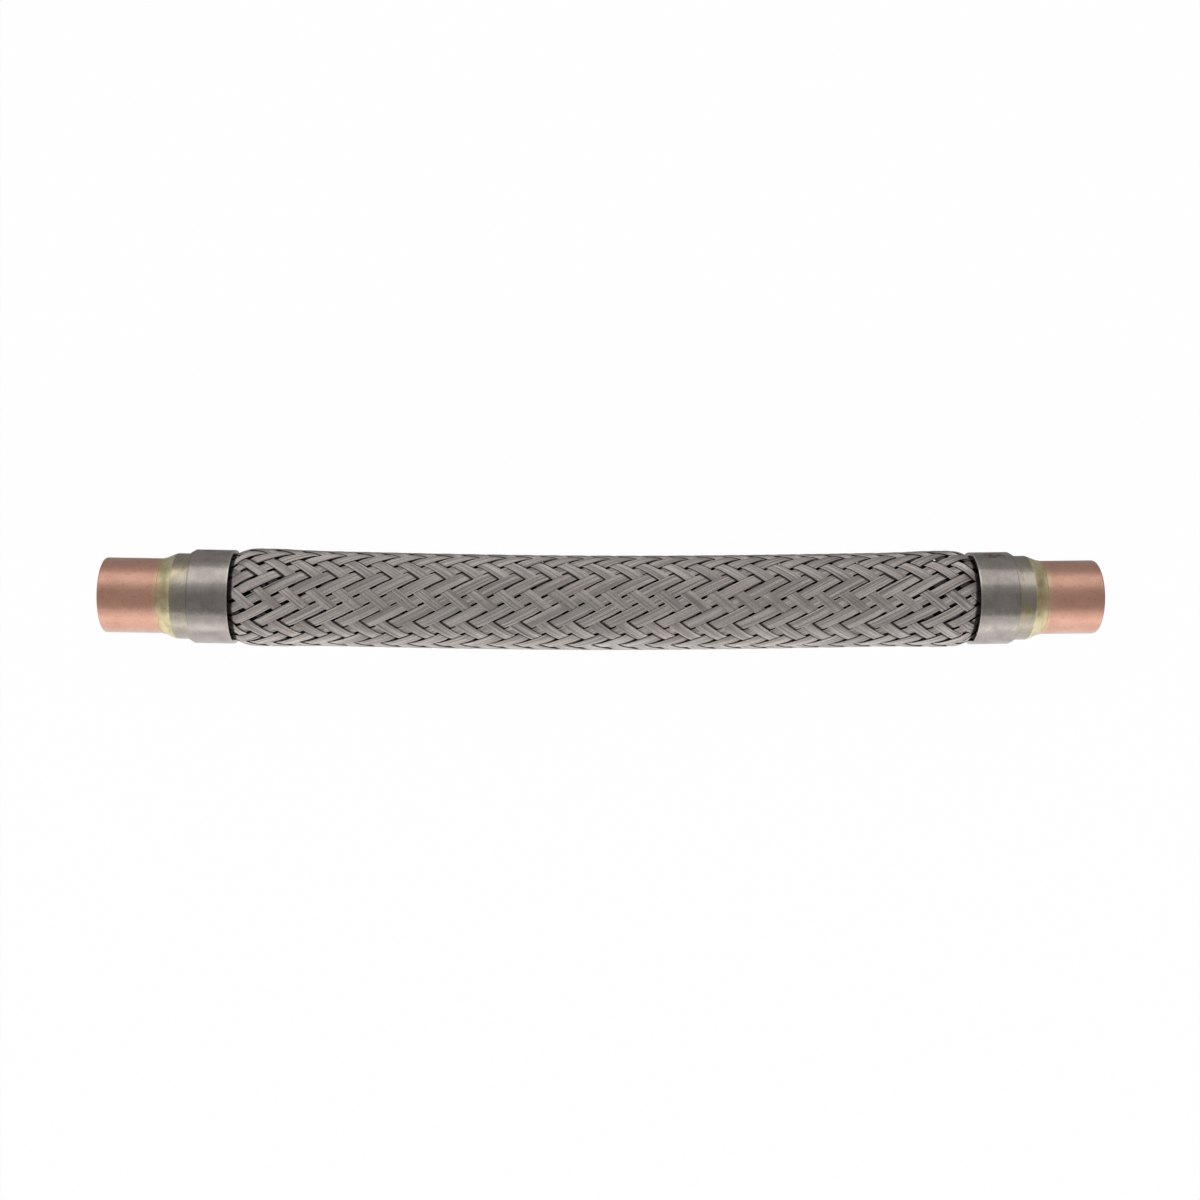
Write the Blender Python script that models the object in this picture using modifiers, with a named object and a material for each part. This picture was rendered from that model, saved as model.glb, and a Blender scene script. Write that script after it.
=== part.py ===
"""Vibration eliminator for a refrigeration line: a corrugated hose in a braided
steel sleeve, with a steel adapter, a ferrule and a copper solder socket at each end.

It lies along X with its top to +Z, and its middle sags a little towards -Y.
The origin is the middle of the hose. A station is a distance from that middle,
measured outwards along the axis. Angles on the braid are counted from +Z towards -Y.
"""

import math

import bmesh
import bpy
from mathutils import Matrix, Vector

MM = 0.001

# Whole part
LENGTH = 240 * MM
BOW = 1.5 * MM  # the middle's offset from the crest of the bow
FIT = 0.1 * MM  # radial clearance between pieces that slide together
SEAT_GAP = 0.3 * MM  # clearance at the end of a piece that butts against another

# Copper socket, sized for a 5/8 in (15.9 mm) refrigeration pipe
SOCKET_BORE = 16 * MM
SOCKET_WALL = 1 * MM
SOCKET_DEPTH = 6.9 * MM  # how far the copper goes into the adapter
SOCKET_SHOWING = 13.8 * MM
RIM_CHAMFER = 0.25 * MM

# Braze fillet
BRAZE_LENGTH = 3.3 * MM
BRAZE_LAND = 0.15 * MM  # thickness where the filler runs out on the copper
BRAZE_CURVE = 1.25  # power of the concave taper
BRAZE_STEPS = 3

# Steel end adapter
SPIGOT_WALL = 0.45 * MM
SHOULDER = 0.75 * MM  # height of the step that the braid butts against
NECK_SHOWING = 2.8 * MM
STOP_LAND = 2.7 * MM  # length of the narrow bore between the two seats
BORE_STEP = 0.1 * MM
HOSE_SEAT_DEPTH = 2 * MM

# Ferrule and its weld to the neck
FERRULE_LENGTH = 9.4 * MM
FERRULE_WALL = 0.9 * MM
FERRULE_EDGE = 0.15 * MM
FERRULE_ON_NECK = 0.6 * MM  # overlap of the ferrule over the adapter's neck
COLLAR_BEAD = 1.5 * MM
BEAD_TOE = 0.12 * MM
BEAD_CROWN = 0.2 * MM

# Corrugated hose
HOSE_BORE = 16.2 * MM
HOSE_WALL = 0.4 * MM  # measured along the radius
CORRUGATION_DEPTH = 2.1 * MM
CORRUGATION_PITCH = 4.8 * MM
PLAIN_AT_MOUTH = 3.2 * MM  # from the last corrugation to the ferrule's mouth
HOSE_BEAD = 0.75 * MM
HOSE_BEAD_HEIGHT = 0.65 * MM

# Braid sleeve
CARRIERS = 18  # bands wound each way
BRAID_WALL = 0.65 * MM
BRAID_SLACK = 0.25 * MM  # between the corrugation crests and the braid
BULGE = 0.4 * MM
BULGE_SPREAD = 8 * MM
BULGE_FROM_MOUTH = 8.2 * MM
PINCH_LENGTH = 5.2 * MM
PINCH_CURVE = 2.4
WEAVE_PITCH = 6.31 * MM  # from one hole to the next along the axis
WEAVE_SHIFT = 1.85 * MM  # where the first hole lies
WEAVE_LEAN = -3.9 * MM  # how far the rounds of the weave lean along the axis
LEAN_FADE = 6  # power by which the lean dies out towards the ferrules
WEAVE_FROM_MOUTH = 1.5 * MM
WEAVE_TURN = math.radians(-8.2)
RIDGE_HEIGHT = 0.3 * MM
GROOVE_WIDTH = 0.7 * MM
GAP_LENGTH = 1.9 * MM
GAP_WIDTH = 0.9 * MM
GAP_ROWS = 3  # a row of gaps is cut right through at each third row of holes
GAP_HOLES = 5  # and in that row, a gap at each fifth hole
GAP_DEPTH = 2 * MM
GAP_CLEAR_OF_MOUTH = 5 * MM

# Faces round a turned piece
TURNED_STEPS = 36
HOSE_STEPS = 12

# Radii that follow from the sizes above
SOCKET_R = SOCKET_BORE / 2 + SOCKET_WALL
SOCKET_SEAT_R = SOCKET_R + FIT
CUFF_R = HOSE_BORE / 2 + HOSE_WALL
HOSE_SEAT_R = CUFF_R + FIT
CREST_R = CUFF_R + CORRUGATION_DEPTH
FLOW_R = min(SOCKET_BORE, HOSE_BORE) / 2 - BORE_STEP
SPIGOT_R = max(SOCKET_SEAT_R, HOSE_SEAT_R) + SPIGOT_WALL
NECK_R = SPIGOT_R + SHOULDER
CLAMPED_R = SPIGOT_R + FIT + BRAID_WALL
BRAID_R = CREST_R + BRAID_SLACK + BRAID_WALL
FERRULE_BORE_R = max(NECK_R, CLAMPED_R) + FIT
FERRULE_R = FERRULE_BORE_R + FERRULE_WALL

# Stations that follow from the sizes above
TIP = LENGTH / 2
BRAZE_END = TIP - SOCKET_SHOWING
NECK_END = BRAZE_END - BRAZE_LENGTH
BEAD_END = NECK_END - NECK_SHOWING
FERRULE_END = BEAD_END - COLLAR_BEAD
MOUTH = FERRULE_END - FERRULE_LENGTH
SHOULDER_AT = FERRULE_END - FERRULE_ON_NECK
BRAID_END = SHOULDER_AT - SEAT_GAP
SOCKET_START = NECK_END - SOCKET_DEPTH
SOCKET_STOP = SOCKET_START - SEAT_GAP
HOSE_STOP = SOCKET_STOP - STOP_LAND
ADAPTER_START = HOSE_STOP - HOSE_SEAT_DEPTH
HOSE_END = HOSE_STOP - SEAT_GAP
LAST_CORRUGATION = MOUTH - PLAIN_AT_MOUTH

# The weave's grid: each crossing or hole is one row round and half a pitch along
ROWS = 2 * CARRIERS
ROW_ANGLE = 2 * math.pi / ROWS
COLUMN_STEP = WEAVE_PITCH / 2
FIRST_COLUMN = math.ceil((-MOUTH + WEAVE_FROM_MOUTH - WEAVE_SHIFT) / COLUMN_STEP)
LAST_COLUMN = math.floor((MOUTH - WEAVE_FROM_MOUTH - WEAVE_SHIFT) / COLUMN_STEP)
TWILL = 4  # rows in one repeat: two over, two under
BAND_CORNERS = 6  # holes round the visible length of one band
STRAIGHT_SIDE = math.radians(165)
MERGE = 0.001 * MM


def bow_angle(station):
    """The centreline's slope towards +Y. Past the ferrules' mouths it stays straight."""
    held = max(-MOUTH, min(MOUTH, station))
    return math.atan(BOW * math.pi / LENGTH * math.sin(2 * math.pi * held / LENGTH))


def centre(station):
    """The centreline's point at a station."""
    held = max(-MOUTH, min(MOUTH, station))
    beyond = station - held
    angle = bow_angle(station)
    sag = -BOW / 2 * math.cos(2 * math.pi * held / LENGTH)
    return Vector((held + beyond * math.cos(angle), sag + beyond * math.sin(angle), 0))


def bowed(point):
    """Where a point of the straight part goes when its centreline is bowed."""
    angle = bow_angle(point.x)
    across = Vector((-math.sin(angle), math.cos(angle), 0))
    return centre(point.x) + across * point.y + Vector((0, 0, point.z))


def bow_mesh(mesh):
    for vert in mesh.vertices:
        vert.co = bowed(vert.co)
    mesh.update()


def collection(name):
    made = bpy.data.collections.new(name)
    bpy.context.scene.collection.children.link(made)
    return made


def metal(name, color, roughness):
    material = bpy.data.materials.new(name)
    material.use_nodes = True
    shader = material.node_tree.nodes["Principled BSDF"]
    shader.inputs["Base Color"].default_value = (*color, 1)
    shader.inputs["Metallic"].default_value = 1
    shader.inputs["Roughness"].default_value = roughness
    return material


def add(name, mesh, material, group):
    obj = bpy.data.objects.new(name, mesh)
    group.objects.link(obj)
    if material:
        mesh.materials.append(material)
    return obj


def outline_mesh(name, profile):
    """A closed outline of (radius, height) points in the XZ plane, ready to be turned about Z."""
    mesh = bpy.data.meshes.new(name)
    bm = bmesh.new()
    verts = [bm.verts.new((radius, 0, height)) for radius, height in profile]
    for vert, following in zip(verts, verts[1:] + verts[:1]):
        bm.edges.new((vert, following))
    bm.to_mesh(mesh)
    bm.free()
    return mesh


def turn(obj, steps):
    screw = obj.modifiers.new("turn", "SCREW")
    screw.steps = screw.render_steps = steps
    screw.use_merge_vertices = True
    screw.merge_threshold = MERGE
    screw.use_smooth_shade = False


def end_frame(side, direction, group):
    """An empty at a ferrule's mouth, its X axis pointing out along that end's straight axis."""
    frame = bpy.data.objects.new(side + "_end", None)
    group.objects.link(frame)
    frame.location = centre(direction * MOUTH)
    slope = bow_angle(MOUTH)
    frame.rotation_euler.z = slope if direction > 0 else math.pi - slope
    return frame


def turned_on_end(name, profile, material, frame, group):
    """A turned piece of an end fitting. The profile's heights are stations, outermost first."""
    from_mouth = [(radius, station - MOUTH) for radius, station in profile]
    obj = add(name, outline_mesh(name, from_mouth), material, group)
    turn(obj, TURNED_STEPS)
    obj.parent = frame
    obj.rotation_euler.y = math.pi / 2
    return obj


def copper_socket_profile():
    bore = SOCKET_BORE / 2
    return [
        (SOCKET_R - RIM_CHAMFER, TIP),
        (SOCKET_R, TIP - RIM_CHAMFER),
        (SOCKET_R, SOCKET_START),
        (bore, SOCKET_START),
        (bore, TIP - RIM_CHAMFER),
        (bore + RIM_CHAMFER, TIP),
    ]


def braze_fillet_profile():
    """A concave taper from the neck down to a thin land on the copper."""
    start = NECK_END + FIT
    tip_r = SOCKET_SEAT_R + BRAZE_LAND
    taper = []
    for step in range(BRAZE_STEPS + 1):
        run = step / BRAZE_STEPS
        radius = tip_r + (NECK_R - tip_r) * run**BRAZE_CURVE
        taper.append((radius, BRAZE_END + (start - BRAZE_END) * run))
    return [*taper, (SOCKET_SEAT_R, start), (SOCKET_SEAT_R, BRAZE_END)]


def end_adapter_profile():
    return [
        (NECK_R, NECK_END),
        (NECK_R, SHOULDER_AT),
        (SPIGOT_R, SHOULDER_AT),
        (SPIGOT_R, ADAPTER_START),
        (HOSE_SEAT_R, ADAPTER_START),
        (HOSE_SEAT_R, HOSE_STOP),
        (FLOW_R, HOSE_STOP),
        (FLOW_R, SOCKET_STOP),
        (SOCKET_SEAT_R, SOCKET_STOP),
        (SOCKET_SEAT_R, NECK_END),
    ]


def ferrule_profile():
    return [
        (FERRULE_R - FERRULE_EDGE, FERRULE_END),
        (FERRULE_R, FERRULE_END - FERRULE_EDGE),
        (FERRULE_R, MOUTH + FERRULE_EDGE),
        (FERRULE_R - FERRULE_EDGE, MOUTH),
        (FERRULE_BORE_R, MOUTH),
        (FERRULE_BORE_R, FERRULE_END),
    ]


def collar_weld_profile():
    """The bead that runs from the ferrule's end face down to the neck."""
    start = FERRULE_END + FIT
    middle = (start + BEAD_END) / 2
    toe_r = FERRULE_BORE_R + BEAD_TOE
    crown_r = (FERRULE_R + toe_r) / 2 + BEAD_CROWN
    return [
        (toe_r, BEAD_END),
        (crown_r, middle),
        (FERRULE_R - FERRULE_EDGE, start),
        (FERRULE_BORE_R, start),
        (FERRULE_BORE_R, BEAD_END),
    ]


def hose_weld_profile():
    """The bead that seals the hose's cuff to the adapter's inner face."""
    top = ADAPTER_START - FIT
    bottom = top - HOSE_BEAD
    return [
        (HOSE_SEAT_R + HOSE_BEAD_HEIGHT, top),
        (HOSE_SEAT_R + HOSE_BEAD_HEIGHT, top - HOSE_BEAD / 2),
        (HOSE_SEAT_R + HOSE_BEAD_HEIGHT / 2, bottom),
        (HOSE_SEAT_R, bottom),
        (HOSE_SEAT_R, top),
    ]


def hose_profile():
    """The corrugated wall from +X to -X outside, and back inside."""
    count = round(2 * LAST_CORRUGATION / CORRUGATION_PITCH)
    half_pitch = LAST_CORRUGATION / count
    outside = [(CUFF_R, HOSE_END)]
    for fold in range(2 * count + 1):
        radius = CREST_R if fold % 2 else CUFF_R
        outside.append((radius, LAST_CORRUGATION - fold * half_pitch))
    outside.append((CUFF_R, -HOSE_END))
    inside = [(radius - HOSE_WALL, height) for radius, height in reversed(outside)]
    return outside + inside


def corrugated_hose(material, group):
    name = "corrugated_hose"
    straight = add(name, outline_mesh(name, hose_profile()), None, group)
    turn(straight, HOSE_STEPS)
    straight.rotation_euler.y = math.pi / 2
    bpy.context.view_layer.update()
    graph = bpy.context.evaluated_depsgraph_get()
    mesh = bpy.data.meshes.new_from_object(straight.evaluated_get(graph))
    mesh.transform(straight.matrix_world)
    bpy.data.objects.remove(straight)
    bow_mesh(mesh)
    return add(name, mesh, material, group)


def braid_radius(station):
    """The braid's outer radius: even in the middle, a bulge, then pinched into the ferrule."""
    from_middle = abs(station)
    bulge = (from_middle - (MOUTH - BULGE_FROM_MOUTH)) / BULGE_SPREAD
    radius = BRAID_R + BULGE * math.exp(-bulge * bulge)
    pinch = (from_middle - (MOUTH - PINCH_LENGTH)) / PINCH_LENGTH
    pinch = max(0, min(1, pinch))
    return radius + (CLAMPED_R - radius) * pinch**PINCH_CURVE


def weave_angle(row):
    return WEAVE_TURN + row * ROW_ANGLE


def weave_station(column, angle):
    upright = WEAVE_SHIFT + column * COLUMN_STEP
    lean = WEAVE_LEAN * (1 - abs(upright / MOUTH) ** LEAN_FADE)
    return upright + lean * math.sin(angle)


def around(station, angle, radius):
    """A point of the straight part, by station, angle from +Z towards -Y, and radius."""
    return Vector((station, -radius * math.sin(angle), radius * math.cos(angle)))


def is_hole(column, row):
    """Bands cross where column and row are both even or both odd. Between lie the holes."""
    return (column + row) % 2 == 1


def weave_grid(bm, column_of, row_of):
    """A grid rolled into a tube, its points numbered by column along and row around."""
    columns = LAST_COLUMN - FIRST_COLUMN
    bmesh.ops.create_grid(bm, x_segments=columns, y_segments=ROWS, size=1)
    for vert in bm.verts:
        column = FIRST_COLUMN + round((vert.co.x + 1) / 2 * columns)
        row = round((vert.co.y + 1) / 2 * ROWS) % ROWS
        vert[column_of] = column
        vert[row_of] = row
        angle = weave_angle(row)
        station = weave_station(column, angle)
        vert.co = around(station, angle, braid_radius(station))
    for face in list(bm.faces):
        holes = [v for v in face.verts if is_hole(v[column_of], v[row_of])]
        bmesh.utils.face_split(face, *holes)
    bmesh.ops.remove_doubles(bm, verts=bm.verts, dist=MERGE)


def joins_one_band(edge, column_of, row_of):
    """Whether an edge between two holes lies inside one visible length of band."""
    first, second = edge.verts
    if (first[row_of] + 1) % ROWS != second[row_of]:
        first, second = second, first
    step = second[column_of] - first[column_of]
    place = first[row_of] % TWILL
    return (place == 0 and step == -1) or (place == TWILL // 2 and step == 1)


def join_bands(bm, column_of, row_of):
    """Dissolves the grid until each face is the visible length of one band: two crossings."""
    crossings = [
        vert
        for vert in bm.verts
        if not vert.is_boundary and not is_hole(vert[column_of], vert[row_of])
    ]
    bmesh.ops.dissolve_verts(bm, verts=crossings)
    inner = [
        edge
        for edge in bm.edges
        if not edge.is_boundary
        and abs(edge.verts[0][column_of] - edge.verts[1][column_of]) == 1
        and joins_one_band(edge, column_of, row_of)
    ]
    bmesh.ops.dissolve_edges(bm, edges=inner, use_verts=False)


def raise_bands(bm):
    """Insets each full length of band, and gives back the points of its raised top."""
    bands = [face for face in bm.faces if len(face.verts) == BAND_CORNERS]
    bmesh.ops.inset_individual(bm, faces=bands, thickness=GROOVE_WIDTH / 2, use_even_offset=True)
    tops = {vert for face in bands for vert in face.verts}
    on_side = [loop.vert for face in bands for loop in face.loops if loop.calc_angle() > STRAIGHT_SIDE]
    ends = {edge: edge.verts for vert in on_side for edge in vert.link_edges}
    spokes = [edge for edge, verts in ends.items() if not tops.issuperset(verts)]
    bmesh.ops.dissolve_edges(bm, edges=spokes, use_verts=False)
    tops -= set(on_side)
    bmesh.ops.dissolve_verts(bm, verts=on_side)
    return tops


def end_ring(bm, direction):
    return [e for e in bm.edges if e.is_boundary and all(v.co.x * direction > 0 for v in e.verts)]


def carry_ring(bm, ring, station, radius):
    """Extrudes a ring of edges to another station and radius, and gives back the new ring."""
    made = bmesh.ops.extrude_edge_only(bm, edges=ring)["geom"]
    verts = {item for item in made if isinstance(item, bmesh.types.BMVert)}
    for vert in verts:
        angle = math.atan2(-vert.co.y, vert.co.z)
        vert.co = around(station, angle, radius)
    edges = {edge for vert in verts for edge in vert.link_edges}
    return [edge for edge in edges if set(edge.verts) <= verts]


def inside_stations():
    """Stations of the sleeve's inner rings, from +X to -X: close together only where it narrows."""
    bulge = MOUTH - BULGE_FROM_MOUTH
    half = [0, bulge / 3, bulge * 2 / 3, bulge]
    half += [MOUTH - PINCH_LENGTH * share for share in (0.6, 0.3, 0)]
    return [*reversed(half), *(-station for station in half[1:])]


def braid_wall_mesh(name):
    bm = bmesh.new()
    column_of = bm.verts.layers.int.new("column")
    row_of = bm.verts.layers.int.new("row")
    weave_grid(bm, column_of, row_of)
    join_bands(bm, column_of, row_of)
    tops = raise_bands(bm)
    for vert in bm.verts:
        angle = math.atan2(-vert.co.y, vert.co.z)
        radius = braid_radius(vert.co.x) - (0 if vert in tops else RIDGE_HEIGHT)
        vert.co = around(vert.co.x, angle, radius)
    inner_r = CLAMPED_R - BRAID_WALL
    clamped = ((MOUTH, CLAMPED_R), (BRAID_END, CLAMPED_R), (BRAID_END, inner_r))
    for direction in (-1, 1):
        ring = end_ring(bm, direction)
        for station, radius in clamped:
            ring = carry_ring(bm, ring, direction * station, radius)
    for station in inside_stations():
        ring = carry_ring(bm, ring, station, braid_radius(station) - BRAID_WALL)
    carry_ring(bm, ring, -BRAID_END, inner_r)
    bmesh.ops.remove_doubles(bm, verts=bm.verts, dist=MERGE)
    bmesh.ops.recalc_face_normals(bm, faces=bm.faces)
    mesh = bpy.data.meshes.new(name)
    bm.to_mesh(mesh)
    bm.free()
    bow_mesh(mesh)
    return mesh


def gap_matrix(column, row):
    """Places a unit cube as one gap: long the way the bands that wind back run."""
    angle = weave_angle(row)
    station = weave_station(column, angle)
    radius = braid_radius(station) - BRAID_WALL / 2
    outward = around(0, angle, 1)
    round_the_braid = outward.cross(Vector((1, 0, 0)))
    if round_the_braid.dot(around(0, angle + ROW_ANGLE, 1)) < 0:
        round_the_braid.negate()
    along = (round_the_braid * radius * ROW_ANGLE - Vector((COLUMN_STEP, 0, 0))).normalized()
    across = outward.cross(along)
    turned = Matrix((along, across, outward)).transposed().to_4x4()
    size = Matrix.Diagonal((GAP_LENGTH, GAP_WIDTH, GAP_DEPTH, 1))
    return Matrix.Translation(bowed(around(station, angle, radius))) @ turned @ size


def gap_cutter(group):
    """One mesh of small blocks, for the gaps that are cut right through the braid."""
    bm = bmesh.new()
    reach = MOUTH - GAP_CLEAR_OF_MOUTH
    for row in range(0, ROWS, GAP_ROWS):
        holes = [c for c in range(FIRST_COLUMN, LAST_COLUMN + 1) if is_hole(c, row)]
        first = row // GAP_ROWS % GAP_HOLES
        for column in holes[first::GAP_HOLES]:
            if abs(weave_station(column, weave_angle(row))) < reach:
                bmesh.ops.create_cube(bm, size=1, matrix=gap_matrix(column, row))
    mesh = bpy.data.meshes.new("braid_gaps")
    bm.to_mesh(mesh)
    bm.free()
    cutter = add("braid_gaps", mesh, None, group)
    cutter.hide_render = True
    cutter.display_type = "WIRE"
    return cutter


def braid_sleeve(material, group, cutters):
    name = "braid_sleeve"
    sleeve = add(name, braid_wall_mesh(name), material, group)
    gaps = sleeve.modifiers.new("gaps", "BOOLEAN")
    gaps.operation = "DIFFERENCE"
    gaps.object = gap_cutter(cutters)
    return sleeve


def end_fitting(side, direction, finishes, group):
    frame = end_frame(side, direction, group)
    pieces = (
        ("copper_socket", copper_socket_profile, "copper"),
        ("braze_fillet", braze_fillet_profile, "braze"),
        ("end_adapter", end_adapter_profile, "steel"),
        ("collar_weld", collar_weld_profile, "steel"),
        ("ferrule", ferrule_profile, "steel"),
        ("hose_weld", hose_weld_profile, "steel"),
    )
    for piece, profile, finish in pieces:
        turned_on_end(f"{side}_{piece}", profile(), finishes[finish], frame, group)


def build():
    for obj in list(bpy.data.objects):
        bpy.data.objects.remove(obj)
    parts = collection("vibration_eliminator")
    cutters = collection("cutters")
    finishes = {
        "copper": metal("copper", (0.72, 0.42, 0.3), 0.3),
        "braze": metal("braze", (0.7, 0.6, 0.36), 0.35),
        "steel": metal("satin_steel", (0.5, 0.47, 0.45), 0.35),
        "wire": metal("braid_wire", (0.55, 0.53, 0.5), 0.35),
        "hose": metal("hose_steel", (0.4, 0.39, 0.38), 0.4),
    }
    corrugated_hose(finishes["hose"], parts)
    braid_sleeve(finishes["wire"], parts, cutters)
    for side, direction in (("left", -1), ("right", 1)):
        end_fitting(side, direction, finishes, parts)


build()
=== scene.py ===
"""Looks of the vibration eliminator: each wire of the braid, the turned ends and their metals.

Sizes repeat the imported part's, in metres. Pieces are laid out round a straight axis
along X and then bowed as the part is. Angles are counted from +Z towards -Y.
"""

import math
import random

import bmesh
import bpy
import numpy as np
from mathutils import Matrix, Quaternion, Vector

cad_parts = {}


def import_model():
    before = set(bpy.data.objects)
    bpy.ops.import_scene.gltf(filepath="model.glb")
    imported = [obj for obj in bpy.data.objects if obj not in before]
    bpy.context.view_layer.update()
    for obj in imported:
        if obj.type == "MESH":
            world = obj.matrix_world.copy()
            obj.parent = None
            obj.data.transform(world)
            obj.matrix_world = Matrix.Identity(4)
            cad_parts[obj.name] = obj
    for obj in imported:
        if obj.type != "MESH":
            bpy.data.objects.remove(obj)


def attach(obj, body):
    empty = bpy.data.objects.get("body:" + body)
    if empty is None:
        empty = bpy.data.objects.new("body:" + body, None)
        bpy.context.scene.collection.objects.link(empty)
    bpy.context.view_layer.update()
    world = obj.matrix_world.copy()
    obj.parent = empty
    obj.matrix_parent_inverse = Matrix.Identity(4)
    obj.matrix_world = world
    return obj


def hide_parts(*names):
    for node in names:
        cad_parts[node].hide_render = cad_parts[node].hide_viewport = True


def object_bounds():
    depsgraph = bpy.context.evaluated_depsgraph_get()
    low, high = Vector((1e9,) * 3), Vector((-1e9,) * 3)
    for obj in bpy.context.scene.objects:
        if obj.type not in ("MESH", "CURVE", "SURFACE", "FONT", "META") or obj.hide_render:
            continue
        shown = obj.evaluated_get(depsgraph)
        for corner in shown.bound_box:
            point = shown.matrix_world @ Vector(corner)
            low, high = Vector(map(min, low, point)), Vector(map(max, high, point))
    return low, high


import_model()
cad_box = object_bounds()

MM = 0.001
BODY = "root"

# The whole part
LENGTH = 240 * MM
BOW = 1.5 * MM
TIP = LENGTH / 2

# End fittings: stations from the middle outwards, and radii
MOUTH = 89.2 * MM
FERRULE_END = 98.6 * MM
BEAD_END = 100.1 * MM
NECK_END = 102.9 * MM
BRAZE_END = 106.2 * MM
ADAPTER_START = 91.0 * MM
HOSE_STOP = 93.0 * MM
SOCKET_STOP = 95.7 * MM
SOCKET_START = 96.0 * MM
SHOULDER_AT = 98.0 * MM
HOSE_END = 92.7 * MM
FIT = 0.1 * MM  # between the hose weld and the adapter
SOCKET_R = 9.0 * MM
SOCKET_BORE_R = 8.0 * MM
SOCKET_SEAT_R = 9.1 * MM
FLOW_R = 7.9 * MM
HOSE_SEAT_R = 8.6 * MM
SPIGOT_R = 9.55 * MM
NECK_R = 10.3 * MM
FERRULE_BORE_R = 10.4 * MM
FERRULE_R = 11.3 * MM
BRAZE_LAND = 0.15 * MM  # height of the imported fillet's toe
TOE_HEIGHT = 0.3  # share of it that the shown fillet keeps
EDGE_ROUNDING = 0.35 * MM  # at a socket's open end
LIP_ROUNDING = 0.14 * MM  # at a ferrule's outer edges
FINE_STEP = 0.8 * MM  # longest step along the sockets' and adapters' outlines
FINER_STEP = 0.5 * MM  # along the ferrules'
FINEST_STEP = 0.4 * MM  # along the hose welds'

# Braze, welds and dents. The seeds set how uneven each piece is
BRAZE_SEED = 7
WELD_SEED = 70
FERRULE_SEED = 700
BRAZE_OVER_NECK = 0.1 * MM  # how far the braze's wide end reaches into the neck's end
BRAZE_STEPS = 20
BRAZE_LUMPS = 0.04 * MM
BRAZE_TOE_WAVES = 0.28 * MM
CREVICE_GAP = 0.02 * MM  # between ferrule and collar weld
CREVICE_WIDTH = 0.1 * MM
WELD_STEPS = 12
WELD_BELOW_FERRULE = 0.17 * MM  # the weld's crest below the ferrule's surface
WELD_BELOW_BORE = 0.09 * MM  # its toe below the ferrule's bore, just clear of the neck
WELD_TOE_WAVES = 0.14 * MM
WELD_LEVELLED = 0.8  # share of a straight cylinder's shading in the collar weld's
DENTS = 0.02 * MM
HOSE_WELD_LENGTH = 0.75 * MM
HOSE_WELD_HIGH = 0.65 * MM
HOSE_WELD_LOW = 0.4 * MM

# Corrugated hose
CUFF_R = 8.5 * MM
CREST_R = 10.6 * MM
HOSE_WALL = 0.4 * MM
FOLDS = 36
LAST_FOLD = 86.0 * MM
FOLD_STEPS = 8
FOLD_FULLNESS = 0.8  # below 1 the folds are fuller than a cosine

# Braid
CARRIERS = 18
WIRES = 8  # in each band
WIRE_R = 0.155 * MM
WIRE_SPACING = 0.31 * MM
END_SPACING = 0.263 * MM  # at the mouths, where each band is drawn together
DRAWN_FROM, DRAWN_TO = 60 * MM, 86 * MM
BAND_DRIFT = 0.06 * MM  # how far a band wanders from its line, and twice as far at the mouths
DRIFT_FROM, DRIFT_TO = 65 * MM, 85 * MM
WIRE_DRIFT = 0.016 * MM  # how far a wire wanders in its band
WIRE_OFFSET = 0.01 * MM
WIRE_LIFT = 0.006 * MM
TONE_DRIFT = 0.25
BRAID_R = 11.5 * MM
BRAID_WALL = 0.65 * MM
CLAMPED_R = 10.3 * MM
BULGE = 0.32 * MM
BULGE_SPREAD = 8 * MM
BULGE_FROM_MOUTH = 8.2 * MM
PINCH_LENGTH = 4.8 * MM
PINCH_CURVE = 2.4
HELD_DOWN = 0.45 * MM  # how far before the mouth the braid is already at its smallest
WEAVE_SHIFT = 0.35 * MM  # the weave's middle from the part's
COLUMN_STEP = 3.155 * MM  # from one crossing to the next along the part
WEAVE_LEAN = -3.9 * MM  # how far the columns shift along the part from its top to its near side
ROW_ANGLE = math.pi / CARRIERS  # from one crossing to the next round the part
WEAVE_TURN = math.radians(-8.2)
# How far the weave has turned at each end, and the length over which it turns
LEFT_TURN = math.radians(4.2)
LEFT_TURN_LENGTH = 45 * MM
RIGHT_TURN = math.radians(6)
RIGHT_TURN_LENGTH = 35 * MM
WIRE_END = 94 * MM  # inside the ferrule
PAST_WIRE_END = 8 * MM  # how much further a band's middle line goes than its wires
WAVE = 0.17 * MM  # a wire's height over or under the middle of the wall
WAVE_SQUARENESS = 3.2
WIRE_SIDES = 6
SAMPLES = (0.0, 0.3, 0.7)  # places along a wire between two crossings
SPLITS = 4  # places in each band where its wires have drawn apart
SPLIT_REACH = (0.8, 2.2)  # half their length, in crossings
SPLIT_WIDTH = (0.03, 0.12)  # in mm
STRAY_FROM_MOUTH = 6 * MM  # where a band's outermost wire stands off near each mouth
STRAY_SHARE = (0.6, 2)  # of that distance
STRAY_REACH = (0.7, 1.3)
STRAY_WIDTH = (0.0, 0.22)
MOUTH_SHADOW_START = 1.3 * MM  # how far before the mouth the painted shadow on the wires begins
MOUTH_SHADOW_FULL = 0.75 * MM
MOUTH_SHADOW_RAGGED = 0.7 * MM  # how ragged the edge of the painted shadow's ring is
CREVICE_SHADE = 0.87  # how dark the painted shade is on a band where it dives under the others and in narrow gaps
GAPS_UNSHADED = (0.4, 0.85)  # openness over which the painted shade in the gaps fades out
LINES_UNSHADED = (0.9, 0.96)  # openness over which the painted shade along the line where a band dives under fades out
DIVE = (1.0, 1.1)  # crossings from the top of a float between which the band dives under
IN_GAP = (1.18, 1.35)  # and between which its line gives way to the gaps over it

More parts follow.
